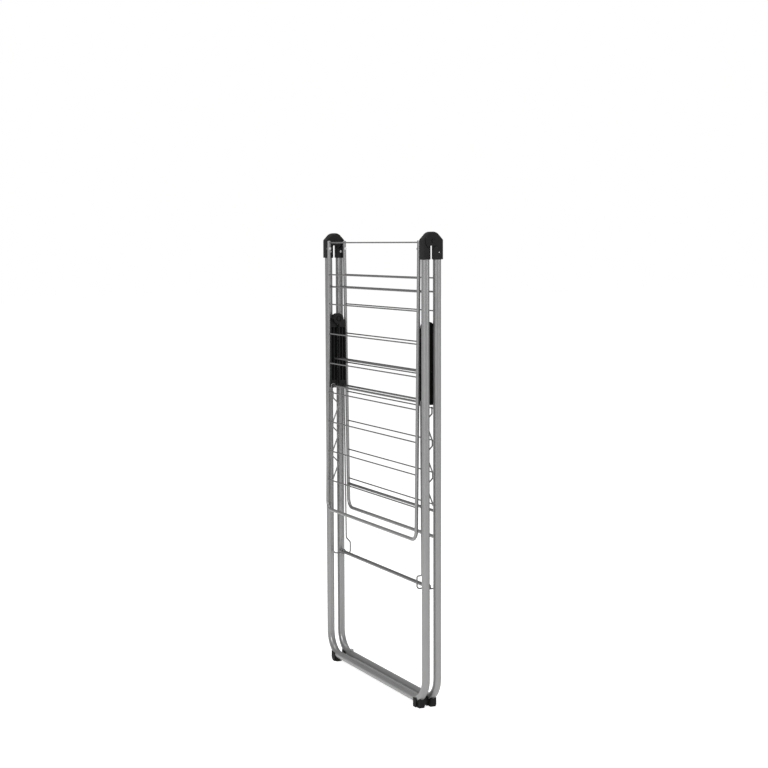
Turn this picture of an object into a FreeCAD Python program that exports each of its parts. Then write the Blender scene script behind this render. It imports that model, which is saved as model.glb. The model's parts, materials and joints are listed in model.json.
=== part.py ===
"""Folding two-wing drying rack, folded flat and standing on its feet.

Millimetres, +Z up. X runs along the rungs, -Y is the front, and the origin is on the
floor midway between the feet. The front half is modelled in place. Most pieces of the
back half are the same pieces turned half a turn about Z, because both halves of the
real rack are one assembly used twice.
"""
import FreeCAD, Part
import math
import os

import Sketcher
from FreeCAD import Placement, Rotation, Vector

DIMENSIONS = {
    # leg frames
    "leg_spacing": 637.0,        # centre to centre of a leg's two tubes
    "leg_offset": 17.5,          # leg plane from the middle of the folded rack
    "tube_dia": 22.0,
    "tube_wall": 0.8,
    "leg_bend": 65.0,            # centreline radius of the bottom bends
    "rail_height": 21.0,         # centre of the bottom rail above the floor
    "tube_drop": 24.0,           # cut end of the tubes below the hinge axis
    # hinge caps
    "hinge_height": 1275.5,
    "cap_wall": 2.0,             # cap material outside the tube
    "cap_flat": 5.4,             # half width of each side of the eight-sided sleeve
    "cap_slot": 6.0,             # slot between the two halves
    "cap_skirt": 49.0,           # lower edge of the caps below the hinge axis
    "cap_shoulder": 3.0,         # roof shoulder above the hinge axis
    "slot_roof": 12.9,           # top of the slot below the hinge axis
    "lug_radius": 24.5,
    "lug_clearance": 0.4,
    "tongue_width": 9.0,
    "cap_bevel": 3.0,
    "pin_dia": 6.0,
    "pin_head": 10.0,
    "head_depth": 1.6,
    "fit": 0.05,                 # radial clearance of a shaft in its hole
    "rivet_dia": 4.0,
    "rivet_head": 7.0,
    "rivet_cover": 2.0,          # wall left over the blind end of a rivet hole
    "rivet_drop": 30.5,          # rivets below the hinge axis
    # cross rods of the legs
    "top_rod_height": 1139.5,
    "top_rod_dia": 5.0,
    "pivot_rod_height": 842.0,
    "pivot_rod_dia": 6.0,
    "rod_grip": 2.0,             # how far a cross rod reaches into a leg tube
    # wings
    "rail_gap": 3.5,             # between a cap and the wing rail beside it
    "rail_dia": 10.0,
    "rail_wall": 0.8,
    "rail_bend": 26.0,
    "wing_pivot_drop": 21.5,     # wing pins below the hinge axis
    "wing_pivot_inset": 8.0,     # wing pins outside the leg plane
    "wing_splay": 9.7,           # bottom rail further out than the pivot
    "wing_rise": 20.5,           # upper ends of the rails above the wing pins
    "wing_bottom": 467.0,
    "rung_dia": 4.0,
    "rung_bite": 0.6,            # weld: rung end let into the rail wall
    "end_rung_drop": 3.0,        # end rung below the ends of the rails
    "first_rung_drop": 98.5,     # first spaced rung below the ends of the rails
    "rung_pitch": 88.5,
    "lower_rod_height": 539.0,   # extra rod of the back wing, below its last rung
    "lower_rod_dia": 8.0,
    "wing_pin_dia": 4.0,
    "wing_pin_collar": 8.0,
    "wing_pin_bite": 3.2,
    # hanger notches on one side of each wing
    "notch_inset": 27.0,         # zigzag wire inside the rail
    "notch_depth": 24.0,
    "notch_flat": 15.0,
    "notch_drop": 20.0,
    "notch_bend": 3.0,
    "notch_weld": 3.8,
    # spreader arms
    "arm_side_gap": 0.0,         # between a cap face plane and the outer arm
    "arm_layer": 10.2,
    "arm_gap": 0.4,
    "arm_near": 4.8,             # arm edge outside the lower pivot
    "arm_far": 17.0,             # arm edge inside the lower pivot
    "arm_tail": 7.2,             # arm end below the lower pivot
    "arm_corner": 5.0,
    "boss_radius": 16.0,
    "centre_height": 1043.5,
    "channel_wall": 2.6,
    "channel_depth": 7.0,
    "channel_start": 16.0,
    "channel_end": 176.0,
    "link_rod_height": 923.5,
    "link_rod_offset": 9.0,
    "link_rod_dia": 5.0,
    "link_rod_grip": 5.0,
    # lower hanging rod and its wires
    "hanger_dia": 4.0,
    "hanger_bend": 11.0,
    "crank_bend": 8.0,
    "plain_inset": 28.5,         # plain hanger wire inside the leg tube
    "crank_outset": 17.5,        # cranked hanger wire inside the leg tube
    "crank_inset": 29.0,
    "crank_height": 371.0,
    "front_wire_foot": 20.5,     # front wires' lower ends from the middle
    "back_wire_foot": 28.0,      # back wires' lower ends from the middle
    "hook_clearance": 2.4,       # slack of a wire's lower eye round the rod's neck
    "eye_clearance": 0.4,        # slack of its upper eye round the pivot rod
    "hang_rod_height": 335.0,
    "hang_rod_offset": 5.0,
    "hang_rod_dia": 10.5,
    "hang_rod_inset": 56.5,      # shoulder of the hanging rod inside the leg tube
    "neck_dia": 4.0,
    "neck_inset": 15.5,          # end of its neck inside the leg tube
    # feet and bumper
    "foot_inner": 60.5,          # inner end of a sole from its leg tube
    "foot_outer": 20.5,          # outer end of a sole from its leg tube
    "sole_width": 16.0,
    "foot_cup": 13.0,
    "foot_corner": 4.0,
    "band_inner": 54.5,
    "band_outer": 38.5,
    "band_width": 25.0,
    "band_height": 25.0,
    "bumper_inset": 75.5,        # bumper from its leg tube
    "bumper_dia": 12.0,
    "bumper_height": 7.0,
}
RUNGS_BELOW_TOP = 8
NOTCHES = 3
HOOK_TURN = 275                  # degrees of a hanger wire's open eyes
FIRST_NOTCH_RUNG = 5             # rung, counted below the end rung, where the notches start
HALF_TURN = Placement(Vector(), Rotation(Vector(0, 0, 1), 180))

os.makedirs("parts", exist_ok=True)
doc = FreeCAD.newDocument("DryingRack")


class Size:
    """A length that knows both its spreadsheet expression and its present value."""

    def __init__(self, text, value):
        self.text = text
        self.value = value

    def _join(self, sign, other, result):
        text = other.text if isinstance(other, Size) else repr(other)
        return Size("(%s %s %s)" % (self.text, sign, text), result)

    def __add__(self, other):
        return self._join("+", other, self.value + number(other))

    def __sub__(self, other):
        return self._join("-", other, self.value - number(other))

    def __mul__(self, other):
        return self._join("*", other, self.value * number(other))

    def __truediv__(self, other):
        return self._join("/", other, self.value / number(other))

    def __neg__(self):
        return self * -1


def number(size):
    """Plain value of a Size or a number."""
    return size.value if isinstance(size, Size) else size


class Dims:
    """Driving dimensions, read as attributes."""


def make_sheet():
    """Write the driving dimensions to a spreadsheet and return them as Sizes."""
    sheet = doc.addObject("Spreadsheet::Sheet", "Dimensions")
    dims = Dims()
    for row, (name, value) in enumerate(DIMENSIONS.items(), start=1):
        sheet.set("A%d" % row, name)
        sheet.set("B%d" % row, str(value))
        sheet.setAlias("B%d" % row, name)
        setattr(dims, name, Size("Dimensions." + name, value))
    doc.recompute()
    return dims


def place_by(dims):
    """Places and sizes that follow from the driving dimensions."""
    side = dims.leg_spacing / 2
    dims.cap_width = dims.tube_dia + dims.cap_wall * 2
    dims.cap_round = dims.cap_width / 2
    dims.cap_reach = dims.leg_offset + dims.cap_round
    dims.leg_top = dims.hinge_height - dims.tube_drop
    dims.cap_base = dims.hinge_height - dims.cap_skirt
    dims.rivet_height = dims.hinge_height - dims.rivet_drop
    dims.rail_spacing = dims.leg_spacing - dims.cap_width - dims.rail_gap * 2 - dims.rail_dia
    dims.wing_pivot_height = dims.hinge_height - dims.wing_pivot_drop
    dims.wing_pivot_offset = dims.leg_offset + dims.wing_pivot_inset
    dims.wing_top = dims.wing_pivot_height + dims.wing_rise
    dims.end_rung_height = dims.wing_top - dims.end_rung_drop
    dims.first_rung_height = dims.wing_top - dims.first_rung_drop
    dims.notch_side = dims.rail_spacing / 2 - dims.notch_inset
    dims.arm_face = side - dims.cap_round - dims.arm_side_gap
    dims.plain_side = side - dims.plain_inset
    dims.crank_side = side - dims.crank_outset
    dims.hang_rod_length = dims.leg_spacing - dims.hang_rod_inset * 2
    dims.neck_length = dims.leg_spacing - dims.neck_inset * 2
    dims.foot_start = side - dims.foot_inner
    dims.foot_end = side - dims.foot_outer
    dims.band_start = side - dims.band_inner
    dims.band_end = side - dims.band_outer
    dims.bumper_side = side - dims.bumper_inset
    return dims


dim = place_by(make_sheet())
ZERO = dim.tube_dia * 0
nodes = []


# ---------------------------------------------------------------- placements
def frame(x=0.0, y=0.0, z=0.0, tilt=0.0, back=False):
    """Frame at a place of the front half, tilted about X; the back one is its half turn."""
    place = Placement(Vector(number(x), number(y), number(z)), Rotation(Vector(1, 0, 0), tilt))
    return HALF_TURN.multiply(place) if back else place


def wing_frame(back):
    """Frame of a wing: its plane is XZ and the origin lies on its pivot axis."""
    drop = dim.wing_pivot_height - dim.wing_bottom
    lean = math.degrees(math.asin(dim.wing_splay.value / drop.value))
    return frame(y=-dim.wing_pivot_offset, z=dim.wing_pivot_height, tilt=-lean, back=back)


def keep(label, thing, place):
    """Name an object as a sub-part, place it and put it on the export list."""
    thing.Label = label
    thing.Placement = place.multiply(thing.Placement)
    nodes.append(thing)
    return thing


# ---------------------------------------------------------------- sketches
def sketch_on(body, role, offset=None):
    """Empty sketch on one of the body's own origin planes."""
    sketch = body.newObject("Sketcher::SketchObject", "Sketch")
    plane = [item for item in body.Origin.OriginFeatures if item.Role == role][0]
    sketch.AttachmentSupport = (plane, [""])
    sketch.MapMode = "FlatFace"
    if offset is not None:
        sketch.AttachmentOffset = Placement(Vector(0, 0, offset.value), Rotation())
        sketch.setExpression("AttachmentOffset.Base.z", offset.text)
    return sketch


def pin_point(sketch, index, end, x, y):
    """Fix a sketch point by its two distances from the sketch origin."""
    for kind, size in (("DistanceX", x), ("DistanceY", y)):
        made = sketch.addConstraint(Sketcher.Constraint(kind, -1, 1, index, end, size.value))
        sketch.setExpression("Constraints[%d]" % made, size.text)


def circle(sketch, x, y, radius):
    """Circle with its centre and radius bound to the sheet."""
    shape = Part.Circle(Vector(x.value, y.value, 0), Vector(0, 0, 1), radius.value)
    index = sketch.addGeometry(shape, False)
    pin_point(sketch, index, 3, x, y)
    made = sketch.addConstraint(Sketcher.Constraint("Radius", index, radius.value))
    sketch.setExpression("Constraints[%d]" % made, radius.text)


def corner_points(before, corner, after, radius):
    """Tangent points and the middle of the arc that rounds a corner."""
    into = (before - corner).normalize()
    out = (after - corner).normalize()
    half = into.getAngle(out) / 2
    reach = radius / math.tan(half)
    middle = corner + (into + out).normalize() * (radius / math.sin(half) - radius)
    return corner + into * reach, middle, corner + out * reach


def outline(sketch, corners, closed=True):
    """Run of straight lines through corners (x, y, radius or None), rounded by arcs."""
    points = [Vector(x.value, y.value, 0) for x, y, _ in corners]
    count = len(points)
    starts, ends, arcs = list(points), list(points), {}
    for i, (x, y, radius) in enumerate(corners):
        if radius is not None:
            ends[i], middle, starts[i] = corner_points(
                points[i - 1], points[i], points[(i + 1) % count], radius.value)
            arcs[i] = sketch.addGeometry(Part.Arc(ends[i], middle, starts[i]), False)
    lines = {}
    for i in range(count if closed else count - 1):
        segment = Part.LineSegment(starts[i], ends[(i + 1) % count])
        lines[i] = sketch.addGeometry(segment, False)
    for i, (x, y, radius) in enumerate(corners):
        before = lines.get((i - 1) % count)
        after = lines.get(i)
        if radius is None:
            if before is not None and after is not None:
                sketch.addConstraint(Sketcher.Constraint("Coincident", before, 2, after, 1))
            if after is not None:
                pin_point(sketch, after, 1, x, y)
            else:
                pin_point(sketch, before, 2, x, y)
            continue
        tip = sketch.addGeometry(Part.Point(points[i]), True)
        pin_point(sketch, tip, 1, x, y)
        arc = sketch.Geometry[arcs[i]]
        first = 1 if arc.StartPoint.distanceToPoint(ends[i]) < 1e-6 else 2
        sketch.addConstraint([
            Sketcher.Constraint("PointOnObject", tip, 1, before),
            Sketcher.Constraint("PointOnObject", tip, 1, after),
            Sketcher.Constraint("Tangent", before, 2, arcs[i], first),
            Sketcher.Constraint("Tangent", after, 1, arcs[i], 3 - first)])
        made = sketch.addConstraint(Sketcher.Constraint("Radius", arcs[i], radius.value))
        sketch.setExpression("Constraints[%d]" % made, radius.text)


# ---------------------------------------------------------------- features
def new_body():
    """Empty PartDesign body."""
    return doc.addObject("PartDesign::Body", "Body")


def pad(body, sketch, length, both=False):
    """Add material along the sketch normal, or half to each side."""
    feature = body.newObject("PartDesign::Pad", "Pad")
    feature.Profile = sketch
    feature.SideType = "Symmetric" if both else "One side"
    feature.setExpression("Length", length.text)
    return feature


def pocket(body, sketch, length, both=False, against=False):
    """Cut along the sketch normal (against=True) or opposite to it, and check that it cuts."""
    doc.recompute()
    before = body.Shape.Volume
    feature = body.newObject("PartDesign::Pocket", "Pocket")
    feature.Profile = sketch
    feature.SideType = "Symmetric" if both else "One side"
    feature.Reversed = against
    feature.setExpression("Length", length.text)
    doc.recompute()
    if not body.Shape.Volume < before - 1e-3:
        raise ValueError("a pocket in %s cuts nothing" % body.Label)
    return feature


def pipe(body, kind, section, path):
    """Sweep a section sketch along a path sketch."""
    doc.recompute()
    feature = body.newObject("PartDesign::%sPipe" % kind, "Pipe")
    feature.Profile = section
    feature.Spine = (path, ["Edge%d" % (i + 1) for i in range(len(path.Shape.Edges))])
    return feature


def edges_where(feature, test):
    """Names of a feature's edges whose middle point passes a test."""
    names = []
    for i, edge in enumerate(feature.Shape.Edges, start=1):
        middle = edge.valueAt((edge.FirstParameter + edge.LastParameter) / 2)
        if test(edge, middle):
            names.append("Edge%d" % i)
    return names


def chamfer(body, feature, test, size):
    """Chamfer the edges of a feature that pass a test."""
    doc.recompute()
    cut = body.newObject("PartDesign::Chamfer", "Chamfer")
    cut.Base = (feature, edges_where(feature, test))
    cut.setExpression("Size", size.text)
    return cut


def fillet(body, feature, test, size):
    """Round the edges of a feature that pass a test."""
    doc.recompute()
    cut = body.newObject("PartDesign::Fillet", "Fillet")
    cut.Base = (feature, edges_where(feature, test))
    cut.setExpression("Radius", size.text)
    return cut


def rod(start, end, y, z, dia):
    """Round bar along X between two places, as a Part cylinder."""
    bar = doc.addObject("Part::Cylinder", "Rod")
    bar.setExpression("Radius", (dia / 2).text)
    bar.setExpression("Height", (end - start).text)
    bar.Placement = Placement(Vector(start.value, number(y), number(z)),
                              Rotation(Vector(0, 1, 0), 90))
    return bar


def fuse(pieces):
    """One solid from several touching or overlapping objects."""
    whole = doc.addObject("Part::MultiFuse", "Fusion")
    whole.Shapes = pieces
    whole.Refine = True
    return whole


def mirrored_pair(piece):
    """A piece and its mirror image in the YZ plane, as a group of separate solids."""
    twin = doc.addObject("Part::Mirroring", "Twin")
    twin.Source = piece
    twin.Normal = Vector(1, 0, 0)
    group = doc.addObject("Part::Compound", "Pair")
    group.Links = [piece, twin]
    return group


# ---------------------------------------------------------------- leg frames
def leg_path(body):
    """Path of a leg: down one side, along the floor and up the other side."""
    side = dim.leg_spacing / 2
    path = sketch_on(body, "XZ_Plane")
    outline(path, [(-side, dim.leg_top, None), (-side, dim.rail_height, dim.leg_bend),
                   (side, dim.rail_height, dim.leg_bend), (side, dim.leg_top, None)],
            closed=False)
    return path


def cross_hole(body, height, dia, length):
    """Hole along X, as long as the rod that it takes, centred on the rack."""
    sketch = sketch_on(body, "YZ_Plane")
    circle(sketch, ZERO, height, dia / 2 + dim.fit)
    pocket(body, sketch, length, both=True)


def cross_rod_length():
    """Length of a leg's cross rods, which end inside the tubes."""
    return dim.leg_spacing - dim.tube_dia + (dim.tube_wall + dim.rod_grip) * 2


def make_leg(name, back):
    """Bent leg tube with its rod and rivet holes."""
    body = new_body()
    path = leg_path(body)
    section = sketch_on(body, "XY_Plane", dim.leg_top)
    circle(section, -dim.leg_spacing / 2, ZERO, dim.tube_dia / 2)
    circle(section, -dim.leg_spacing / 2, ZERO, dim.tube_dia / 2 - dim.tube_wall)
    pipe(body, "Additive", section, path)
    cross_hole(body, dim.rivet_height, dim.rivet_dia, dim.leg_spacing + dim.tube_dia * 2)
    rods = [("top_rod", dim.top_rod_height, dim.top_rod_dia),
            ("pivot_rod", dim.pivot_rod_height, dim.pivot_rod_dia)]
    length = cross_rod_length()
    for _, height, dia in rods:
        cross_hole(body, height, dia, length)
    place = frame(y=-dim.leg_offset, back=back)
    keep(name + "_leg_tube", body, place)
    for rod_name, height, dia in rods:
        bar = rod(-length / 2, length / 2, 0, height, dia)
        keep("%s_%s" % (name, rod_name), bar, place)


def make_foot(name, back, side):
    """Plastic foot under a bottom bend: a flat sole that cups the bent tube, with a band."""
    body = new_body()
    sole = sketch_on(body, "XZ_Plane")
    rise = dim.foot_end - dim.leg_spacing / 2 + dim.leg_bend
    lift = Size("(%s - sqrt(%s ^ 2 - %s ^ 2))" % (dim.leg_bend.text, dim.leg_bend.text, rise.text),
                dim.leg_bend.value - math.sqrt(dim.leg_bend.value ** 2 - rise.value ** 2))
    outline(sole, [(dim.foot_start, ZERO, None), (dim.foot_end - dim.foot_corner, ZERO, None),
                   (dim.foot_end, dim.foot_corner * 2, None), (dim.foot_end, dim.foot_cup + lift, None),
                   (dim.band_end, dim.foot_cup + dim.foot_corner, None),
                   (dim.foot_start, dim.foot_cup, None)])
    pad(body, sole, dim.sole_width, both=True)
    band = sketch_on(body, "XZ_Plane")
    outline(band, [(dim.band_start, ZERO, None), (dim.band_end, ZERO, None),
                   (dim.band_end + dim.foot_corner, dim.band_height + dim.foot_corner, None),
                   (dim.band_start, dim.band_height, None)])
    block = pad(body, band, dim.band_width, both=True)
    side_y = dim.band_width.value / 2
    rounded = fillet(body, block, lambda edge, middle: abs(abs(middle.y) - side_y) < 1e-3
                     and middle.z > 1, dim.foot_corner / 4)
    end_x = dim.foot_end.value
    fillet(body, rounded, lambda edge, middle: abs(middle.y) < 1 and middle.x > end_x - 1
           and edge.Length > dim.sole_width.value - 1, dim.foot_corner / 2)
    path = leg_path(body)
    section = sketch_on(body, "XY_Plane", dim.leg_top)
    circle(section, -dim.leg_spacing / 2, ZERO, dim.tube_dia / 2 + dim.fit)
    pipe(body, "Subtractive", section, path)
    turn = Placement() if side > 0 else HALF_TURN
    keep(name, body, frame(y=-dim.leg_offset, back=back).multiply(turn))


# ---------------------------------------------------------------- hinge caps
def make_cap(name, back, side, fork):
    """One half of a corner hinge; a fork half has outer lugs, the other a middle tongue."""
    body = new_body()
    slot = dim.cap_slot / 2
    depth = dim.hinge_height - dim.cap_base
    reach, shoulder, radius = dim.cap_reach.value, dim.cap_shoulder.value, dim.lug_radius.value
    corner = math.hypot(reach, shoulder)
    swing = math.atan2(shoulder, -reach) - math.acos(radius / corner)
    touch = (radius * math.cos(swing), radius * math.sin(swing))
    block = sketch_on(body, "YZ_Plane")
    outline(block, [(-slot, -depth, None), (-dim.cap_reach, -depth, None),
                    (-dim.cap_reach, dim.cap_shoulder, None),
                    (dim.lug_radius * (touch[0] / radius), dim.lug_radius * (touch[1] / radius), None),
                    (-slot, ZERO, None)])
    pad(body, block, dim.cap_width, both=True)
    lug = sketch_on(body, "YZ_Plane")
    circle(lug, ZERO, ZERO, dim.lug_radius)
    solid = pad(body, lug, dim.cap_width, both=True)
    edge_x = dim.cap_width.value / 2
    chamfer(body, solid, lambda edge, middle: abs(abs(middle.x) - edge_x) < 1e-3
            and (middle.y < 1 - reach or middle.z > shoulder), dim.cap_bevel)
    wide = dim.cap_width / 2
    face = dim.leg_offset - dim.cap_round
    flat = dim.cap_flat
    gap = sketch_on(body, "XY_Plane", -dim.slot_roof)
    outline(gap, [(-wide - slot, -dim.leg_offset, None), (-wide, -dim.leg_offset, None),
                  (-wide, -dim.leg_offset + flat, None), (-flat, -face, None),
                  (flat, -face, None), (wide, -dim.leg_offset + flat, None),
                  (wide, -dim.leg_offset, None), (wide + slot, -dim.leg_offset, None),
                  (wide + slot, dim.leg_offset, None), (wide, dim.leg_offset, None),
                  (wide, dim.leg_offset - flat, None), (flat, face, None),
                  (-flat, face, None), (-wide, dim.leg_offset - flat, None),
                  (-wide, dim.leg_offset, None), (-wide - slot, dim.leg_offset, None)])
    pocket(body, gap, depth)
    clear = dim.lug_radius + dim.lug_clearance
    if fork:
        middle = sketch_on(body, "YZ_Plane")
        circle(middle, ZERO, ZERO, clear)
        pocket(body, middle, dim.tongue_width + dim.lug_clearance * 2, both=True)
    else:
        for face, against in ((dim.tongue_width / 2, True), (-dim.tongue_width / 2, False)):
            outer = sketch_on(body, "YZ_Plane", face)
            circle(outer, ZERO, ZERO, clear)
            pocket(body, outer, dim.cap_width, against=against)
    socket = sketch_on(body, "XY_Plane", -depth)
    circle(socket, ZERO, -dim.leg_offset, dim.tube_dia / 2 + dim.fit)
    pocket(body, socket, dim.leg_top - dim.cap_base, against=True)
    hole = sketch_on(body, "YZ_Plane")
    circle(hole, ZERO, ZERO, dim.pin_dia / 2 + dim.fit)
    pocket(body, hole, dim.cap_width * 2, both=True)
    blind_holes = [(-dim.leg_offset, dim.rivet_height, dim.rivet_dia,
                    dim.cap_width - dim.rivet_cover + dim.fit),
                   (-dim.wing_pivot_offset, dim.wing_pivot_height, dim.wing_pin_dia,
                    dim.wing_pin_bite + dim.fit)]
    for y, z, dia, length in blind_holes:
        hole = sketch_on(body, "YZ_Plane", wide * -side)
        circle(hole, y, z - dim.hinge_height, dia / 2 + dim.fit)
        pocket(body, hole, length, against=side > 0)
    keep(name, body, frame(x=dim.leg_spacing / 2 * side, z=dim.hinge_height, back=back))


def make_cap_rivets(name, back):
    """Rivets that fasten a leg's two caps to its tubes, headed on the inner side only."""
    inner = dim.leg_spacing / 2 - dim.cap_width / 2
    spot = (-dim.leg_offset, dim.rivet_height)
    pieces = [rod(inner, inner + dim.cap_width - dim.rivet_cover, *spot, dim.rivet_dia),
              rod(inner - dim.head_depth / 2, inner, *spot, dim.rivet_head)]
    keep(name + "_cap_rivets", mirrored_pair(fuse(pieces)), frame(back=back))


def make_wing_pins(name, back):
    """Headed pins on which a wing swings, with a collar between cap and rail."""
    face = dim.leg_spacing / 2 - dim.cap_width / 2
    rail_out = dim.rail_spacing / 2 + dim.rail_dia / 2
    rail_in = rail_out - dim.rail_dia
    spot = (-dim.wing_pivot_offset, dim.wing_pivot_height)
    gap = dim.arm_gap
    pieces = [rod(rail_in - gap, face + dim.wing_pin_bite, *spot, dim.wing_pin_dia),
              rod(rail_out + gap, face, *spot, dim.wing_pin_collar),
              rod(rail_in - gap - dim.head_depth, rail_in - gap, *spot, dim.wing_pin_collar)]
    keep(name + "_wing_pins", mirrored_pair(fuse(pieces)), frame(back=back))


def make_hinge_pin(name, side):
    """Headed pin through both halves of a corner hinge, its heads just clear of them."""
    outer = dim.cap_width / 2 + dim.fit
    pieces = [rod(-outer, outer, 0, 0, dim.pin_dia),
              rod(-outer - dim.head_depth, -outer, 0, 0, dim.pin_head),
              rod(outer, outer + dim.head_depth, 0, 0, dim.pin_head)]
    keep(name, fuse(pieces), frame(x=dim.leg_spacing / 2 * side, z=dim.hinge_height))


# ---------------------------------------------------------------- wings
def make_wing_rail(name, place):
    """Bent wing rail with closed upper ends, drilled for its pins."""
    body = new_body()
    side = dim.rail_spacing / 2
    top = dim.wing_top - dim.wing_pivot_height
    low = dim.wing_bottom - dim.wing_pivot_height
    path = sketch_on(body, "XZ_Plane")
    outline(path, [(-side, top, None), (-side, low, dim.rail_bend), (side, low, dim.rail_bend),
                   (side, top, None)], closed=False)
    section = sketch_on(body, "XY_Plane", top)
    circle(section, -side, ZERO, dim.rail_dia / 2)
    circle(section, -side, ZERO, dim.rail_dia / 2 - dim.rail_wall)
    pipe(body, "Additive", section, path)
    plugs = sketch_on(body, "XY_Plane", top)
    circle(plugs, -side, ZERO, dim.rail_dia / 2)
    circle(plugs, side, ZERO, dim.rail_dia / 2)
    tip = pad(body, plugs, dim.rail_dia / 4)
    fillet(body, tip, lambda edge, middle: middle.z > (top + dim.rail_dia / 4).value - 1e-3
           and edge.Length > dim.rail_dia.value, dim.rail_dia / 5)
    hole = sketch_on(body, "YZ_Plane")
    circle(hole, ZERO, ZERO, dim.wing_pin_dia / 2 + dim.fit)
    pocket(body, hole, dim.leg_spacing, both=True)
    keep(name + "_wing_rail", body, place)


def rung_heights():
    """Heights of a wing's rungs below its pivot axis, from the top down."""
    first = dim.first_rung_height - dim.wing_pivot_height
    heights = [dim.end_rung_height - dim.wing_pivot_height]
    return heights + [first - dim.rung_pitch * i for i in range(RUNGS_BELOW_TOP)]


def make_rungs(name, place):
    """Straight rungs, each let into the rails at both ends; gives their half length."""
    half = dim.rail_spacing / 2 - dim.rail_dia / 2 + dim.rung_bite
    for i, height in enumerate(rung_heights(), start=1):
        keep("%s_wing_rung_%d" % (name, i), rod(-half, half, 0, height, dim.rung_dia), place)
    return half


def bent_run(points, radius):
    """Edges of straight runs joined by tangent arcs, in space."""
    edges, start = [], points[0]
    for i in range(1, len(points) - 1):
        run_in, middle, run_out = corner_points(points[i - 1], points[i], points[i + 1], radius)
        edges.append(Part.LineSegment(start, run_in).toShape())
        edges.append(Part.Arc(run_in, middle, run_out).toShape())
        start = run_out
    edges.append(Part.LineSegment(start, points[-1]).toShape())
    return edges


def round_wire(edges, dia):
    """Solid round wire along a run of edges."""
    spine = Part.Wire(edges)
    first = spine.OrderedEdges[0]
    section = Part.Circle(first.valueAt(first.FirstParameter),
                          first.tangentAt(first.FirstParameter), dia / 2)
    return spine.makePipeShell([Part.Wire([section.toShape()])], True, False)


def make_notches(name, place):
    """Zigzag wire welded inside the rungs, whose steps hold coat hangers."""
    inward = Vector(0, 1, 0)
    x = -dim.notch_side.value
    weld, depth = dim.notch_weld.value, dim.notch_depth.value
    heights = [size.value for size in rung_heights()]
    points = []
    for i in range(NOTCHES):
        z = heights[FIRST_NOTCH_RUNG + i]
        points.append(Vector(x, 0, z) + inward * weld)
        points.append(Vector(x, 0, z - dim.notch_flat.value) + inward * weld)
        points.append(Vector(x, 0, z - dim.notch_flat.value - dim.notch_drop.value) + inward * depth)
    last = heights[FIRST_NOTCH_RUNG + NOTCHES]
    points.append(Vector(x, 0, last) + inward * weld)
    points.append(points[-1] - Vector(0, 0, dim.rung_dia.value))
    points[0].z += dim.rung_dia.value
    wire = doc.addObject("Part::Feature", "Wire")
    wire.Shape = round_wire(bent_run(points, dim.notch_bend.value), dim.rung_dia.value)
    keep(name + "_wing_zigzag", wire, place)


# ---------------------------------------------------------------- spreader arms
def make_arm(name, back, side, outer):
    """Channelled plastic arm: lower eye on the leg's pivot rod, boss at the centre joint."""
    body = new_body()
    rise = dim.centre_height - dim.pivot_rod_height
    near, far = -dim.arm_near, dim.arm_far
    bar = sketch_on(body, "YZ_Plane")
    outline(bar, [(near, -dim.arm_tail, dim.arm_near), (far, -dim.arm_tail, dim.arm_corner),
                  (far, rise, None), (near, rise - dim.arm_corner / 2, dim.arm_corner)])
    pad(body, bar, dim.arm_layer, both=True)
    boss = sketch_on(body, "YZ_Plane")
    circle(boss, dim.leg_offset, rise, dim.boss_radius)
    pad(body, boss, dim.arm_layer, both=True)
    face = dim.arm_layer / 2 * -side
    middle = (far + near) / 2
    for low, high in ((near, middle - dim.channel_wall / 2), (middle + dim.channel_wall / 2, far)):
        left = low + dim.channel_wall if low is near else low
        right = high - dim.channel_wall if high is far else high
        channel = sketch_on(body, "YZ_Plane", face)
        outline(channel, [(left, dim.channel_start, None), (right, dim.channel_start, None),
                          (right, dim.channel_end, None), (left, dim.channel_end, None)])
        pocket(body, channel, dim.channel_depth, against=side > 0)
    ring = sketch_on(body, "YZ_Plane", face)
    circle(ring, dim.leg_offset, rise, dim.boss_radius * 0.55)
    circle(ring, dim.leg_offset, rise, dim.boss_radius * 0.32)
    pocket(body, ring, dim.channel_wall, against=side > 0)
    for y, z, dia in ((ZERO, ZERO, dim.pivot_rod_dia),
                      (dim.link_rod_offset, dim.link_rod_height - dim.pivot_rod_height,
                       dim.link_rod_dia)):
        hole = sketch_on(body, "YZ_Plane")
        circle(hole, y, z, dia / 2 + dim.fit)
        pocket(body, hole, dim.arm_layer * 2, both=True)
    keep(name, body, frame(x=arm_centre(outer) * side, y=-dim.leg_offset,
                           z=dim.pivot_rod_height, back=back))


def arm_centre(outer):
    """Middle of an arm's thickness from the rack's centre plane."""
    centre = dim.arm_face - dim.arm_layer / 2
    return centre if outer else centre - dim.arm_layer - dim.arm_gap


def make_arm_link(name, back):
    """Rod that ties the two arms of one leg together."""
    bite = dim.link_rod_grip - dim.arm_layer / 2
    bar = rod(-(arm_centre(True) + bite), arm_centre(False) + bite,
              dim.link_rod_offset - dim.leg_offset, dim.link_rod_height, dim.link_rod_dia)
    keep(name + "_arm_link_rod", bar, frame(back=back))


# ---------------------------------------------------------------- hanging rod
def on_circle(centre, radius, angle):
    """Point of a circle in the YZ plane, by its angle from +Y."""
    return centre + Vector(0, math.cos(angle), math.sin(angle)) * radius


def hook(centre, radius, start, turn):
    """Open eye in the YZ plane, from a start angle through a signed turn."""
    points = [on_circle(centre, radius, start + turn * share) for share in (0, 0.5, 1)]
    return Part.Arc(*points).toShape()


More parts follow.
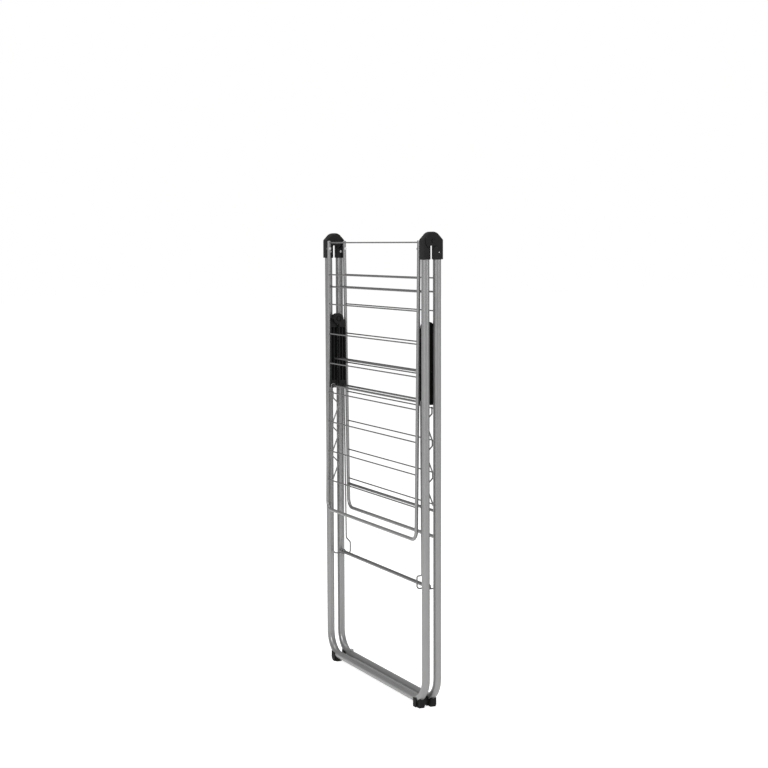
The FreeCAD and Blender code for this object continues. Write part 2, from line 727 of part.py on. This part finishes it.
def make_hanger(name, side, front, crank):
    """Bent wire, hooked round a leg's pivot rod above and the hanging rod's neck below."""
    sign = -1 if front else 1
    dia = dim.hanger_dia.value
    upper = dim.pivot_rod_dia.value / 2 + dim.eye_clearance.value + dia / 2
    lower = dim.neck_dia.value / 2 + dim.hook_clearance.value + dia / 2
    turn = math.radians(HOOK_TURN) * -sign
    x = side * (dim.crank_side if crank else dim.plain_side).value
    foot = sign * (dim.front_wire_foot if front else dim.back_wire_foot).value
    pivot = Vector(x, sign * dim.leg_offset.value, dim.pivot_rod_height.value)
    neck = Vector(x, dim.hang_rod_offset.value, dim.hang_rod_height.value)
    run = neck.z - lower
    corners = [Vector(x, foot, run)]
    if crank:
        neck.x = x - side * dim.crank_inset.value
        corners = [Vector(x, foot, dim.crank_height.value),
                   Vector(neck.x, foot, dim.crank_height.value - dim.crank_bend.value),
                   Vector(neck.x, foot, run)]
    reach = corners[0] - pivot
    leave = math.atan2(reach.z, reach.y) + sign * math.acos(upper / reach.Length)
    points = [on_circle(pivot, upper, leave)] + corners + [neck - Vector(0, 0, lower)]
    edges = bent_run(points, (dim.crank_bend if crank else dim.hanger_bend).value)
    edges.insert(0, hook(pivot, upper, leave - turn, turn))
    edges.append(hook(neck, lower, -math.pi / 2, turn))
    wire = doc.addObject("Part::Feature", "Hanger")
    wire.Shape = round_wire(edges, dia)
    keep(name, wire, frame())


def make_hanging_rod():
    """Round rod with necked ends that the four hanger wires carry."""
    spot = (dim.hang_rod_offset, dim.hang_rod_height)
    pieces = [rod(-dim.hang_rod_length / 2, dim.hang_rod_length / 2, *spot, dim.hang_rod_dia),
              rod(-dim.neck_length / 2, dim.neck_length / 2, *spot, dim.neck_dia)]
    keep("hanging_rod", fuse(pieces), frame())


def make_bumper():
    """Domed bumper on the back leg's bottom rail."""
    body = new_body()
    base = dim.rail_height + dim.tube_dia / 2 - 1
    disc = sketch_on(body, "XY_Plane", base)
    circle(disc, -dim.bumper_side, ZERO, dim.bumper_dia / 2)
    top = pad(body, disc, dim.bumper_height)
    crown = (base + dim.bumper_height).value
    fillet(body, top, lambda edge, middle: middle.z > crown - 1e-3
           and edge.Length > dim.bumper_dia.value, dim.bumper_height * 0.6)
    path = leg_path(body)
    section = sketch_on(body, "XY_Plane", dim.leg_top)
    circle(section, -dim.leg_spacing / 2, ZERO, dim.tube_dia / 2)
    pipe(body, "Subtractive", section, path)
    keep("back_rail_bumper", body, frame(y=dim.leg_offset))


# ---------------------------------------------------------------- assembly
def build():
    """Make every sub-part."""
    for name, back in (("front", False), ("back", True)):
        make_leg(name, back)
        # A half turn swaps left and right, so the back leg's left side is made as its right.
        for side_name, place_side in (("left", -1), ("right", 1)):
            side = -place_side if back else place_side
            outer = side < 0
            make_cap("%s_%s_cap" % (name, side_name), back, side, fork=outer)
            make_foot("%s_%s_foot" % (name, side_name), back, side)
            make_arm("%s_%s_arm" % (name, side_name), back, side, outer)
            make_hanger("%s_%s_hanger_wire" % (name, side_name), place_side, not back,
                        crank=not outer)
        make_cap_rivets(name, back)
        make_wing_pins(name, back)
        make_arm_link(name, back)
        place = wing_frame(back)
        make_wing_rail(name, place)
        half = make_rungs(name, place)
        make_notches(name, place)
        if back:
            height = dim.lower_rod_height - dim.wing_pivot_height
            keep("back_wing_lower_rod", rod(-half, half, 0, height, dim.lower_rod_dia), place)
    for side_name, side in (("left", -1), ("right", 1)):
        make_hinge_pin(side_name + "_hinge_pin", side)
    make_hanging_rod()
    make_bumper()
    doc.recompute()


def check_and_export():
    """Stop on any failed object or bad shape, then write one STEP file per sub-part."""
    for thing in doc.Objects:
        if "Invalid" in thing.State or "Error" in thing.State:
            raise ValueError("%s (%s) failed: %s" % (thing.Name, thing.Label, thing.State))
    for node in nodes:
        if node.Shape.isNull() or not node.Shape.isValid() or not node.Shape.Solids:
            raise ValueError(node.Label + " has no valid solid")
        node.Shape.exportStep("parts/%s.step" % node.Label)
    print("%d sub-parts" % len(nodes))


build()
check_and_export()
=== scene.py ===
"""Looks of a folded two-wing drying rack, dressed around its fixed frame.

Metres, +Z up, the floor at Z 0. X runs along the rungs and -Y is the front.
"""

import json
import logging
import math
from dataclasses import dataclass, field
from enum import Enum

import bmesh
import bpy
from mathutils import Matrix, Vector

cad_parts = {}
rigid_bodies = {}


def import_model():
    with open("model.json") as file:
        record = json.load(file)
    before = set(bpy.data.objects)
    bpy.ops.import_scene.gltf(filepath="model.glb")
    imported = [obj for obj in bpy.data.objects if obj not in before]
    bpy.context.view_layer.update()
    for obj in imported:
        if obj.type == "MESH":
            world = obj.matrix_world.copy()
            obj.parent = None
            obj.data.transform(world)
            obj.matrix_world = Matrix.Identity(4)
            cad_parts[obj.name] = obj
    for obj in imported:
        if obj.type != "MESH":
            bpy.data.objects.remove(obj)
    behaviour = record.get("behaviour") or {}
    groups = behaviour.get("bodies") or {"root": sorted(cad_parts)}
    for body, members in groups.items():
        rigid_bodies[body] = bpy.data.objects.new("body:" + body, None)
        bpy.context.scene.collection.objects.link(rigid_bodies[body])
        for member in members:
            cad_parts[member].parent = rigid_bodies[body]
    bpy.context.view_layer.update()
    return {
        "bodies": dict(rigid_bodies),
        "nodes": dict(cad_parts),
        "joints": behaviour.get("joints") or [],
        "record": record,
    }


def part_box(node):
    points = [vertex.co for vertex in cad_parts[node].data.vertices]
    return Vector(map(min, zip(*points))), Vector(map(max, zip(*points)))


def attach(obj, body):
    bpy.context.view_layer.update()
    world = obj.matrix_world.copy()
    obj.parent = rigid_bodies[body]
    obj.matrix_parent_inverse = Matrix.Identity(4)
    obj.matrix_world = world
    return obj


log = logging.getLogger("rack")
Triple = tuple[float, float, float]
MM = 0.001
NOISE_LOW = 0.3                 # usual low and high ends of a noise texture's value
NOISE_HIGH = 0.7
CROWN_SHARE = 0.96              # radius of a crown, as a share of the head under it
BEAD_SIDES = 10
DOME_SEGMENTS = 28
LIP_STEPS = 48
WELD_STEPS = 20


class Half(Enum):
    """The two like halves of the rack."""

    FRONT = "front"
    BACK = "back"


class Side(Enum):
    """The two ends of the rungs."""

    LEFT = "left"
    RIGHT = "right"


# ------------------------------------------------------------------ finishes
def grey(level: float) -> Triple:
    """Neutral colour of one level."""
    return (level, level, level)


class NodeSheet:
    """A material's node tree, with short calls to add and join nodes."""

    def __init__(self, name: str) -> None:
        """Start a material with one principled shader.

        Args:
            name: name of the material.
        """
        self.material = bpy.data.materials.new(name)
        self.material.use_nodes = True
        self.tree = self.material.node_tree
        self.shader = self.tree.nodes["Principled BSDF"]
        coordinates = self.tree.nodes.new("ShaderNodeTexCoord")
        self.place = coordinates.outputs["Object"]

    def join(self, source: bpy.types.NodeSocket, target: bpy.types.NodeSocket) -> None:
        """Link an output socket to an input socket."""
        self.tree.links.new(source, target)

    def noise(self, scale: float, detail: float = 2.0,
              stretch: Triple = (1.0, 1.0, 1.0)) -> bpy.types.NodeSocket:
        """Add a noise texture on object coordinates.

        Args:
            scale: noise scale, per metre.
            detail: octaves of the noise.
            stretch: scale of the coordinates along X, Y and Z.

        Returns:
            The noise's value, from 0 to 1.
        """
        mapping = self.tree.nodes.new("ShaderNodeMapping")
        mapping.inputs["Scale"].default_value = stretch
        texture = self.tree.nodes.new("ShaderNodeTexNoise")
        texture.inputs["Scale"].default_value = scale
        texture.inputs["Detail"].default_value = detail
        self.join(self.place, mapping.inputs["Vector"])
        self.join(mapping.outputs["Vector"], texture.inputs["Vector"])
        return texture.outputs["Fac"]

    def spread(self, value: bpy.types.NodeSocket, low: float, high: float) -> bpy.types.NodeSocket:
        """Map the middle of a 0 to 1 value on to a range.

        Args:
            value: value to map.
            low: result at the value's usual low end.
            high: result at its usual high end.

        Returns:
            The mapped value.
        """
        node = self.tree.nodes.new("ShaderNodeMapRange")
        node.inputs["From Min"].default_value = NOISE_LOW
        node.inputs["From Max"].default_value = NOISE_HIGH
        node.inputs["To Min"].default_value = low
        node.inputs["To Max"].default_value = high
        self.join(value, node.inputs["Value"])
        return node.outputs["Result"]

    def tint(self, value: bpy.types.NodeSocket, low: Triple, high: Triple) -> None:
        """Colour the shader between two tones by a value."""
        ramp = self.tree.nodes.new("ShaderNodeValToRGB")
        ramp.color_ramp.elements[0].position = NOISE_LOW
        ramp.color_ramp.elements[1].position = NOISE_HIGH
        ramp.color_ramp.elements[0].color = (*low, 1.0)
        ramp.color_ramp.elements[1].color = (*high, 1.0)
        self.join(value, ramp.inputs["Fac"])
        self.join(ramp.outputs["Color"], self.shader.inputs["Base Color"])

    def relief(self, height: bpy.types.NodeSocket, depth: float, strength: float) -> None:
        """Bump the shader's normal.

        Args:
            height: height map.
            depth: full height of the relief, in metres.
            strength: share of the relief that shows.
        """
        bump = self.tree.nodes.new("ShaderNodeBump")
        bump.inputs["Distance"].default_value = depth
        bump.inputs["Strength"].default_value = strength
        self.join(height, bump.inputs["Height"])
        self.join(bump.outputs["Normal"], self.shader.inputs["Normal"])


@dataclass(frozen=True)
class MetalFinish:
    """Silver finish of a tube, rod or wire: a tone with faint mottling and fine grain."""

    name: str
    tone: float
    mottle: float
    metallic: float
    roughness: float
    roughness_spread: float
    coat: float
    grain_scale: float
    grain_depth: float
    stretch: Triple = (1.0, 1.0, 1.0)

    def material(self) -> bpy.types.Material:
        """Build the material.

        Returns:
            The finished material.
        """
        sheet = NodeSheet(self.name)
        shader = sheet.shader.inputs
        shader["Metallic"].default_value = self.metallic
        shader["Coat Weight"].default_value = self.coat
        shader["Coat Roughness"].default_value = 0.22
        broad = sheet.noise(14.0, 3.0)
        grain = sheet.noise(self.grain_scale, 2.0, self.stretch)
        sheet.tint(broad, grey(self.tone - self.mottle), grey(self.tone + self.mottle))
        rough = sheet.spread(broad, self.roughness - self.roughness_spread,
                             self.roughness + self.roughness_spread)
        sheet.join(rough, shader["Roughness"])
        sheet.relief(grain, self.grain_depth, 0.35)
        return sheet.material


@dataclass(frozen=True)
class PlasticFinish:
    """Moulded plastic: a dark tone with a spark-eroded grain and slightly worn sheen."""

    name: str
    tone: float
    mottle: float
    roughness: float
    grain_scale: float
    grain_depth: float

    def material(self) -> bpy.types.Material:
        """Build the material.

        Returns:
            The finished material.
        """
        sheet = NodeSheet(self.name)
        shader = sheet.shader.inputs
        shader["Metallic"].default_value = 0.0
        shader["Specular IOR Level"].default_value = 0.22
        broad = sheet.noise(45.0, 3.0)
        grain = sheet.noise(self.grain_scale, 4.0)
        sheet.tint(broad, grey(self.tone - self.mottle), grey(self.tone + self.mottle))
        sheet.join(sheet.spread(grain, self.roughness - 0.07, self.roughness + 0.09),
                   shader["Roughness"])
        sheet.relief(grain, self.grain_depth, 0.5)
        return sheet.material


TUBE = MetalFinish("satin_silver_paint", 0.30, 0.012, 0.72, 0.36, 0.03, 0.18, 2600.0, 0.00002)
RAIL = MetalFinish("satin_silver_rail_paint", 0.29, 0.012, 0.72, 0.36, 0.03, 0.18, 2600.0, 0.00002)
ROD = MetalFinish("plated_rod", 0.21, 0.014, 0.85, 0.33, 0.04, 0.0, 700.0, 0.00001,
                  (0.02, 1.0, 1.0))
WIRE = MetalFinish("plated_wire", 0.20, 0.014, 0.85, 0.33, 0.04, 0.0, 900.0, 0.00001)
RIVET = MetalFinish("rivet_steel", 0.42, 0.02, 0.95, 0.30, 0.05, 0.0, 1800.0, 0.00002)
WELD = MetalFinish("painted_weld", 0.31, 0.03, 0.7, 0.46, 0.05, 0.0, 1500.0, 0.00012)
BLACK = PlasticFinish("black_moulding", 0.006, 0.001, 0.52, 1500.0, 0.00006)
BLACK_SOLE = PlasticFinish("black_sole", 0.006, 0.001, 0.66, 700.0, 0.00014)


class Shelf:
    """Materials, each built once from its finish."""

    def __init__(self) -> None:
        """Start with no materials."""
        self.made: dict[str, bpy.types.Material] = {}

    def get(self, finish: MetalFinish | PlasticFinish) -> bpy.types.Material:
        """Material of a finish.

        Args:
            finish: the finish wanted.

        Returns:
            Its material, built on first use.
        """
        if finish.name not in self.made:
            self.made[finish.name] = finish.material()
        return self.made[finish.name]


def paint(piece: bpy.types.Object, material: bpy.types.Material) -> None:
    """Give every material slot of a piece one material."""
    if not piece.material_slots:
        piece.data.materials.append(material)
    for material_slot in piece.material_slots:
        material_slot.material = material


# ------------------------------------------------------------------ small shapes
class Shape:
    """Mesh under construction, ended as one named piece."""

    def __init__(self) -> None:
        """Start an empty mesh."""
        self.mesh = bmesh.new()

    def ring(self, centre: Vector, axis: Vector, radius: float, bead: float,
             steps: int = 28) -> None:
        """Add a round bead bent to a ring.

        Args:
            centre: centre of the ring.
            axis: direction through the ring.
            radius: radius of the bead's centre line.
            bead: radius of the bead.
            steps: pieces round the ring.
        """
        turn = axis.to_track_quat("Z", "Y").to_matrix().to_4x4()
        start = (Matrix.Translation(centre) @ turn @ Matrix.Translation((radius, 0, 0))
                 @ Matrix.Rotation(math.pi / 2, 4, "X"))
        made = bmesh.ops.create_circle(self.mesh, segments=BEAD_SIDES, radius=bead, matrix=start)
        edges = list({edge for vert in made["verts"] for edge in vert.link_edges})
        bmesh.ops.spin(self.mesh, geom=made["verts"] + edges, cent=centre, axis=axis,
                       angle=2 * math.pi, steps=steps, use_merge=True)

    def dome(self, centre: Vector, axis: Vector, radius: float, height: float) -> None:
        """Add a low dome, as a flattened ball with its equator on the seat.

        Args:
            centre: centre of the seat.
            axis: direction in which the dome rises.
            radius: radius at the seat.
            height: rise above the seat.
        """
        turn = axis.to_track_quat("Z", "Y").to_matrix().to_4x4()
        size = Matrix.Diagonal((radius, radius, height, 1.0))
        bmesh.ops.create_uvsphere(self.mesh, u_segments=DOME_SEGMENTS,
                                  v_segments=DOME_SEGMENTS // 2, radius=1.0,
                                  matrix=Matrix.Translation(centre) @ turn @ size)

    def lump(self, centre: Vector, size: Vector) -> None:
        """Add a small rounded lump, as wide each way as its size."""
        place = Matrix.Translation(centre) @ Matrix.Diagonal((*(size / 2), 1.0))
        bmesh.ops.create_icosphere(self.mesh, subdivisions=3, radius=1.0, matrix=place)

    def piece(self, name: str, body: str, slot: str, material: bpy.types.Material
              ) -> bpy.types.Object:
        """End the mesh as a smooth-shaded piece that rides on a body.

        Args:
            name: name of the piece.
            body: body of the frame that it moves with.
            slot: name of a material slot of the record; not used.
            material: its material.

        Returns:
            The new object.
        """
        bmesh.ops.recalc_face_normals(self.mesh, faces=self.mesh.faces)
        data = bpy.data.meshes.new(name)
        self.mesh.to_mesh(data)
        self.mesh.free()
        for face in data.polygons:
            face.use_smooth = True
        thing = bpy.data.objects.new(name, data)
        bpy.context.scene.collection.objects.link(thing)
        paint(thing, material)
        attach(thing, body)
        log.info("piece %s rides on %s, %d faces", name, body, len(data.polygons))
        return thing


def span(node: str) -> tuple[Vector, Vector]:
    """Lowest and highest corners of a frame node."""
    low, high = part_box(node)
    return Vector(low), Vector(high)


def middle(node: str) -> Vector:
    """Middle of a frame node's box."""
    low, high = span(node)
    return (low + high) / 2


# ------------------------------------------------------------------ sub-assemblies
@dataclass
class SubAssembly:
    """Pieces of the frame that belong together, and what dresses them."""

    frame: dict
    shelf: Shelf

    def dress(self, finish: MetalFinish | PlasticFinish, *nodes: str) -> None:
        """Paint frame nodes with one finish.

        Args:
            finish: the finish.
            nodes: names of the nodes.
        """
        for node in nodes:
            paint(self.frame["nodes"][node], self.shelf.get(finish))
            log.info("node %s in %s", node, finish.name)

    def build(self) -> None:
        """Dress the nodes and make the new pieces."""
        raise NotImplementedError


@dataclass
class HingePins(SubAssembly):
    """The two pins that join the halves at their caps."""

    head_radius: float = 5.0 * MM
    dome_rise: float = 1.1 * MM

    def build(self) -> None:
        """Dress the pins and crown their heads."""
        shape = Shape()
        for side in Side:
            node = f"{side.value}_hinge_pin"
            self.dress(BLACK, node)
            low, high = span(node)
            centre = (low + high) / 2
            for x, way in ((low.x, -1), (high.x, 1)):
                shape.dome(Vector((x, centre.y, centre.z)), Vector((way, 0, 0)),
                           self.head_radius * CROWN_SHARE, self.dome_rise)
        shape.piece("hinge_pin_crowns", "hinge_pins", "plastic", self.shelf.get(BLACK))


@dataclass
class Leg(SubAssembly):
    """One bent leg tube with its caps, rods, rivets and feet."""

    half: Half = Half.FRONT
    tube_radius: float = 11.0 * MM
    rivet_radius: float = 3.5 * MM
    rivet_rise: float = 0.9 * MM
    rivet_head: float = 0.8 * MM
    lip: float = 0.7 * MM
    rim_inset: float = 0.1 * MM
    rim_gap: float = 0.5 * MM
    rim_bead: float = 0.6 * MM
    body: str = field(init=False, default="")

    def __post_init__(self) -> None:
        """Name the body of the frame."""
        self.body = f"{self.half.value}_leg"

    def build(self) -> None:
        """Dress the leg and make its small pieces."""
        name = self.half.value
        self.dress(TUBE, f"{name}_leg_tube")
        self.dress(ROD, f"{name}_top_rod", f"{name}_pivot_rod")
        self.dress(RIVET, f"{name}_cap_rivets", f"{name}_wing_pins")
        for side in Side:
            self.dress(BLACK, f"{name}_{side.value}_cap")
            self.dress(BLACK_SOLE, f"{name}_{side.value}_foot")
        if self.half is Half.BACK:
            self.dress(TUBE, "back_rail_bumper")
        self.rivet_crowns()
        self.cap_lips()
        self.rod_rims()

    def rivet_crowns(self) -> None:
        """Add a crown for each cap rivet: on the inner sides in front, the outer at the back."""
        name = self.half.value
        shape = Shape()
        rivets_low, rivets_high = span(f"{name}_cap_rivets")
        centre = (rivets_low + rivets_high) / 2
        inner = span(f"{name}_right_cap")[0].x if self.half is Half.FRONT else (
            span(f"{name}_left_cap")[0].x)
        for way in (-1, 1):
            seat = Vector((-way * (abs(inner) - self.rivet_head), centre.y, centre.z))
            shape.dome(seat, Vector((way, 0, 0)), self.rivet_radius * CROWN_SHARE, self.rivet_rise)
        shape.piece(f"{name}_rivet_crowns", self.body, "fastener", self.shelf.get(RIVET))

    def cap_lips(self) -> None:
        """Moulded lip round each tube where it enters its cap."""
        name = self.half.value
        shape = Shape()
        tube_low, tube_high = span(f"{name}_leg_tube")
        centre = (tube_low + tube_high) / 2
        for x, side in ((tube_low.x + self.tube_radius, Side.LEFT),
                        (tube_high.x - self.tube_radius, Side.RIGHT)):
            base = span(f"{name}_{side.value}_cap")[0].z
            shape.ring(Vector((x, centre.y, base)), Vector((0, 0, 1)),
                       self.tube_radius + self.lip, self.lip, LIP_STEPS)
        shape.piece(f"{name}_cap_lips", self.body, "plastic", self.shelf.get(BLACK))

    def rod_rims(self) -> None:
        """Crimped rim where each cross rod enters a tube."""
        name = self.half.value
        shape = Shape()
        tube_low, tube_high = span(f"{name}_leg_tube")
        inner = tube_high.x - 2 * self.tube_radius
        for node in (f"{name}_top_rod", f"{name}_pivot_rod"):
            low, high = span(node)
            centre = (low + high) / 2
            radius = (high.z - low.z) / 2
            for way in (-1, 1):
                shape.ring(Vector((way * (inner - self.rim_inset), centre.y, centre.z)),
                           Vector((1, 0, 0)), radius + self.rim_gap, self.rim_bead)
        shape.piece(f"{name}_rod_rims", self.body, "rod", self.shelf.get(WELD))


@dataclass
class Wing(SubAssembly):
    """One hanging wing: bent rail, rungs, and a zigzag wire."""

    half: Half = Half.FRONT
    rungs: int = 9
    first_notch_rung: int = 6
    bead: float = 0.75 * MM
    bead_gap: float = 0.25 * MM
    spot_offset: float = 1.9 * MM
    spot_size: Triple = (5.0 * MM, 2.6 * MM, 3.2 * MM)
    body: str = field(init=False, default="")

    def __post_init__(self) -> None:
        """Name the body of the frame."""
        self.body = f"{self.half.value}_wing"

    def crossers(self) -> list[str]:
        """Names of every rod that crosses the wing."""
        names = [f"{self.half.value}_wing_rung_{i}" for i in range(1, self.rungs + 1)]
        if self.half is Half.BACK:
            names.append("back_wing_lower_rod")
        return names

    def build(self) -> None:
        """Dress the wing and make its weld beads."""
        name = self.half.value
        self.dress(RAIL, f"{name}_wing_rail")
        self.dress(ROD, *self.crossers())
        self.dress(WIRE, f"{name}_wing_zigzag")
        self.rail_welds()
        self.zigzag_welds()

    def rail_welds(self) -> None:
        """Weld bead round both ends of every rung."""
        shape = Shape()
        for node in self.crossers():
            low, high = span(node)
            centre = (low + high) / 2
            radius = (high.z - low.z) / 2
            for x, way in ((low.x, 1), (high.x, -1)):
                shape.ring(Vector((x + way * self.bead, centre.y, centre.z)),
                           Vector((1, 0, 0)), radius + self.bead_gap, self.bead, WELD_STEPS)
        shape.piece(f"{self.body}_rail_welds", self.body, "rail", self.shelf.get(WELD))

    def zigzag_welds(self) -> None:
        """Weld spot where the zigzag wire lies against each of its rungs."""
        shape = Shape()
        wire = middle(f"{self.body}_zigzag")
        inward = 1 if self.half is Half.FRONT else -1
        for i in range(self.first_notch_rung, self.rungs + 1):
            rung = middle(f"{self.body}_rung_{i}")
            spot = Vector((wire.x, rung.y + inward * self.spot_offset, rung.z))
            shape.lump(spot, Vector(self.spot_size))
        shape.piece(f"{self.body}_zigzag_welds", self.body, "wire", self.shelf.get(WELD))


@dataclass
class Spreader(SubAssembly):
    """The two arms that open from one leg, and the rod that ties them."""

    half: Half = Half.FRONT
    hub_radius: float = 4.6 * MM
    hub_rise: float = 0.35 * MM
    boss_radius: float = 16.0 * MM
    body: str = field(init=False, default="")

    def __post_init__(self) -> None:
        """Name the body of the frame."""
        self.body = f"{self.half.value}_spreader"

    def build(self) -> None:
        """Dress the arms and crown the hub of each boss."""
        name = self.half.value
        shape = Shape()
        for side, way in ((Side.LEFT, 1), (Side.RIGHT, -1)):
            node = f"{name}_{side.value}_arm"
            self.dress(BLACK, node)
            low, high = span(node)
            inner = high.x if way > 0 else low.x
            hub = Vector((inner, 0.0, high.z - self.boss_radius))
            shape.dome(hub, Vector((way, 0, 0)), self.hub_radius, self.hub_rise)
        self.dress(ROD, f"{name}_arm_link_rod")
        shape.piece(f"{name}_hub_crowns", self.body, "plastic", self.shelf.get(BLACK))


@dataclass
class HangingRod(SubAssembly):
    """The low hanging rod and the four wires that carry it."""

    def build(self) -> None:
        """Dress the rod and its wires."""
        self.dress(ROD, "hanging_rod")
        for half in Half:
            for side in Side:
                self.dress(WIRE, f"{half.value}_{side.value}_hanger_wire")


# ------------------------------------------------------------------ studio
@dataclass
class Studio:
    """Pale floor, soft light and the camera."""

    lens: float = 75.0
    sensor: float = 36.0
    stand: Vector = field(default_factory=lambda: Vector((4.113, -1.971, 1.272)))
    yaw: float = math.radians(25.75)
    pitch: float = math.radians(5.06)
    roll: float = math.radians(-0.209)
    floor_half: float = 30.0
    floor_glow: float = 0.35
    floor_glow_seen: float = 0.66
    shade_left: float = 0.38
    shade_right: float = 0.5

    def build(self) -> None:
        """Make the floor, the lights and the camera."""
        self.floor()
        self.world()
        self.lamp("key_light", (2.6, -3.4, 3.0), (0, 0, 0.7), 2.2, 95.0)
        self.lamp("fill_light", (4.5, 2.5, 1.8), (0, 0, 0.7), 2.0, 26.0)
        self.lamp("top_light", (-0.5, -0.2, 4.2), (0, 0, 0.5), 2.5, 48.0)
        self.camera()

    def floor(self) -> None:
        """Lay the floor."""
        mesh = bmesh.new()
        bmesh.ops.create_grid(mesh, x_segments=1, y_segments=1, size=self.floor_half)
        data = bpy.data.meshes.new("floor")
        mesh.to_mesh(data)
        mesh.free()
        plane = bpy.data.objects.new("floor", data)
        bpy.context.scene.collection.objects.link(plane)
        material = bpy.data.materials.new("floor_white")
        material.use_nodes = True
        shader = material.node_tree.nodes["Principled BSDF"].inputs
        shader["Base Color"].default_value = (0.9, 0.9, 0.9, 1.0)
        shader["Roughness"].default_value = 1.0
        shader["Specular IOR Level"].default_value = 0.0
        shader["Emission Color"].default_value = (1.0, 1.0, 1.0, 1.0)
        rays = material.node_tree.nodes.new("ShaderNodeLightPath")
        glow = material.node_tree.nodes.new("ShaderNodeMapRange")
        glow.inputs["To Min"].default_value = self.floor_glow
        glow.inputs["To Max"].default_value = self.floor_glow_seen
        material.node_tree.links.new(rays.outputs["Is Camera Ray"], glow.inputs["Value"])
        material.node_tree.links.new(glow.outputs["Result"], shader["Emission Strength"])
        paint(plane, material)

    def world(self) -> None:
        """Show a white surround that lights the rack more dimly, to keep its edges dark."""
        world = bpy.data.worlds.new("studio")
        world.use_nodes = True
        tree = world.node_tree
        surround = tree.nodes["Background"]
        surround.inputs["Strength"].default_value = 1.0
        place = tree.nodes.new("ShaderNodeTexCoord")
        split = tree.nodes.new("ShaderNodeSeparateXYZ")
        ramp = tree.nodes.new("ShaderNodeMapRange")
        ramp.inputs["From Min"].default_value = -1.0
        ramp.inputs["From Max"].default_value = 1.0
        ramp.inputs["To Min"].default_value = self.shade_left
        ramp.inputs["To Max"].default_value = self.shade_right
        rays = tree.nodes.new("ShaderNodeLightPath")
        choose = tree.nodes.new("ShaderNodeMix")
        choose.data_type = "RGBA"
        choose.inputs["B"].default_value = (1.0, 1.0, 1.0, 1.0)
        tree.links.new(place.outputs["Generated"], split.inputs["Vector"])
        tree.links.new(split.outputs["Y"], ramp.inputs["Value"])
        tree.links.new(ramp.outputs["Result"], choose.inputs["A"])
        tree.links.new(rays.outputs["Is Camera Ray"], choose.inputs["Factor"])
        tree.links.new(choose.outputs["Result"], surround.inputs["Color"])
        bpy.context.scene.world = world
        bpy.context.scene.view_settings.view_transform = "Standard"

    def lamp(self, name: str, place: Triple, target: Triple, size: float, power: float) -> None:
        """Add a square soft light.

        Args:
            name: name of the light.
            place: where it stands.
            target: the point that it faces.
            size: length of its side, in metres.
            power: its power, in watts.
        """
        data = bpy.data.lights.new(name, "AREA")
        data.size = size
        data.energy = power
        lamp = bpy.data.objects.new(name, data)
        way = Vector(target) - Vector(place)
        lamp.rotation_euler = way.to_track_quat("-Z", "Y").to_euler()
        lamp.location = place
        bpy.context.scene.collection.objects.link(lamp)

    def camera(self) -> None:
        """Stand the camera in front of the rack's right end."""
        data = bpy.data.cameras.new("camera")
        data.lens = self.lens
        data.sensor_width = self.sensor
        camera = bpy.data.objects.new("camera", data)
        bpy.context.scene.collection.objects.link(camera)
        ahead = Vector((-math.cos(self.yaw) * math.cos(self.pitch),
                        math.sin(self.yaw) * math.cos(self.pitch), -math.sin(self.pitch)))
        level = ahead.cross(Vector((0, 0, 1))).normalized()
        upright = level.cross(ahead)
        right = level * math.cos(self.roll) + upright * math.sin(self.roll)
        above = upright * math.cos(self.roll) - level * math.sin(self.roll)
        turn = Matrix((right, above, -ahead)).transposed().to_4x4()
        camera.matrix_world = Matrix.Translation(self.stand) @ turn
        bpy.context.scene.camera = camera


def main() -> None:
    """Build the rack's looks around the frame."""
    logging.basicConfig(level=logging.INFO, format="%(name)s: %(message)s")
    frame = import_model()
    shelf = Shelf()
    HingePins(frame, shelf).build()
    for half in Half:
        Leg(frame, shelf, half=half).build()
        Wing(frame, shelf, half=half).build()
        Spreader(frame, shelf, half=half).build()
    HangingRod(frame, shelf).build()
    Studio().build()


if __name__ == "__main__":
    main()
